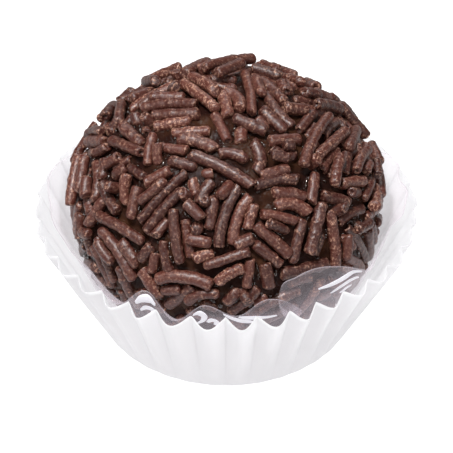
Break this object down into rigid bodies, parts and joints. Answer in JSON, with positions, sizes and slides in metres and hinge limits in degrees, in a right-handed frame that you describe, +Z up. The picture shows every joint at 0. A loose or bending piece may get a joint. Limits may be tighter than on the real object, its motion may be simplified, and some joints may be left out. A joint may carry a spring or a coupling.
{
  "type": "chocolate truffle ball in a paper case",
  "caption": "Round soft chocolate truffle coated in chocolate sprinkles, resting on a thin wavy clear film liner inside a fluted white paper case.",
  "frame": {"origin": "middle of the paper case's flat base, on the surface it rests on", "axes": "+Z up, through the middle of the ball; -Y the side that faces the viewer"},
  "size_m": [0.0411, 0.04, 0.0285],
  "materials": {
    "chocolate": "satin chocolate sprinkles over glossy dark fudge",
    "film": "thin clear film with pale printed strokes",
    "paper": "matte white thin paper"
  },
  "bodies": {
    "root": {"bonbon": "chocolate", "film_liner": "film", "paper_case": "paper"}
  },
  "joints": []
}
